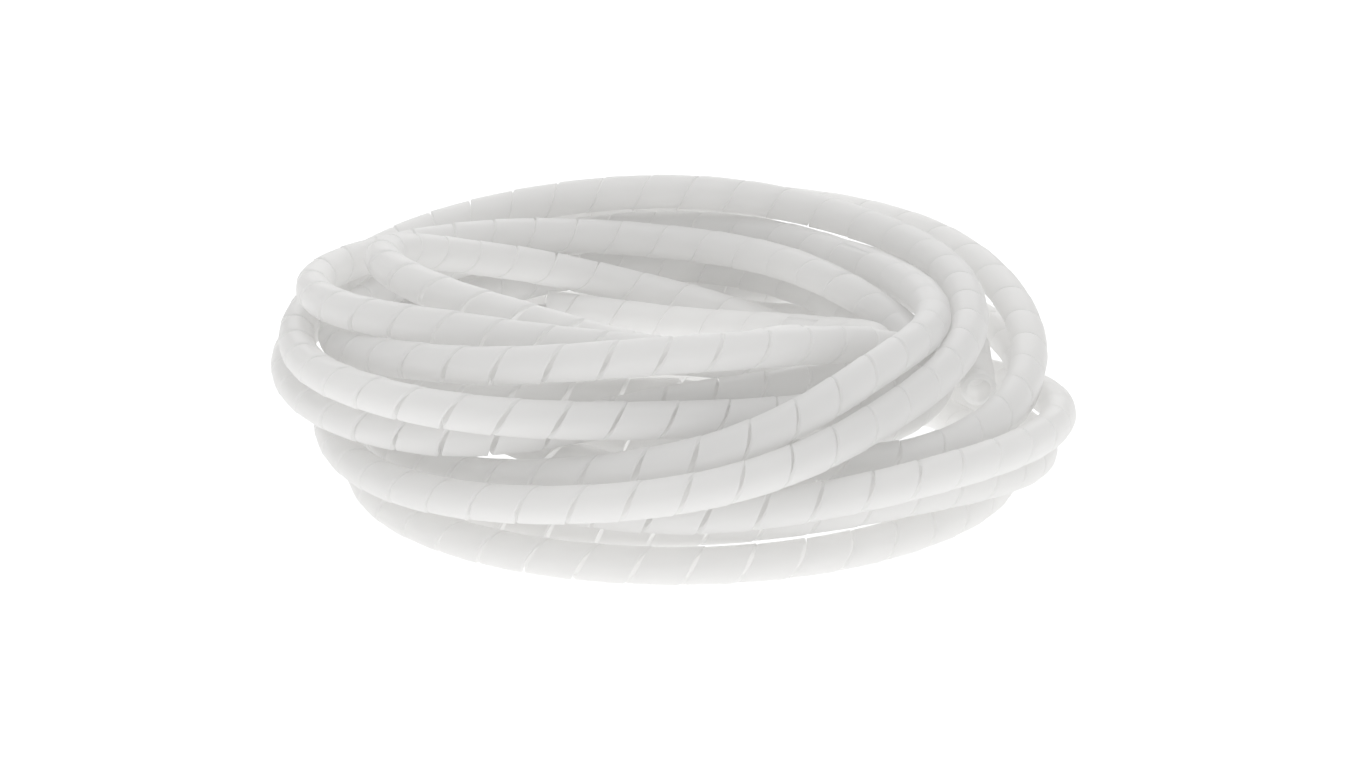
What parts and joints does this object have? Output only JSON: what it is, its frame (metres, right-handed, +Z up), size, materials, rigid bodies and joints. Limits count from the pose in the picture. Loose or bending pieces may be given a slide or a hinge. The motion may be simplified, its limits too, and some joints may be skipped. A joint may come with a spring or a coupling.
{
  "type": "coiled spiral-cut guard tube",
  "caption": "Springy translucent spiral-cut plastic tube, heaped loosely in a flat coil, for winding round a young stem, wire or cable as a guard",
  "frame": {"origin": "bottom centre of the coil's bounding box, on the ground", "axes": "+Z up through the coil's middle; +X to the side where the outer cut end lies; the outer mouth faces -Y"},
  "size_m": [0.1772, 0.1664, 0.0558],
  "materials": {
    "tube": "translucent natural polyethylene, soft satin"
  },
  "bodies": {
    "coil": {"turn_01": "tube", "turn_02": "tube", "turn_03": "tube", "turn_04": "tube", "turn_05": "tube", "turn_06": "tube", "turn_07": "tube", "turn_08": "tube", "turn_09": "tube", "turn_10": "tube", "turn_11": "tube", "turn_12": "tube", "turn_13": "tube"},
    "outer_end": {"outer_lead": "tube", "outer_mouth": "tube"},
    "inner_end": {"inner_lead": "tube", "inner_mouth": "tube"}
  },
  "joints": [
    {"name": "outer_end_flex", "type": "hinge", "parent": "coil", "child": "outer_end", "pos_m": [0.05403, 0.05033, 0.02406], "axis": [0.7384, 0.6516, -0.1736], "range_deg": [0, 20], "stiffness_Nm_per_rad": 0.06},
    {"name": "inner_end_flex", "type": "hinge", "parent": "coil", "child": "inner_end", "pos_m": [0.02774, 0.02444, 0.0256], "axis": [0, 0, 1], "range_deg": [0, 25], "stiffness_Nm_per_rad": 0.06}
  ]
}
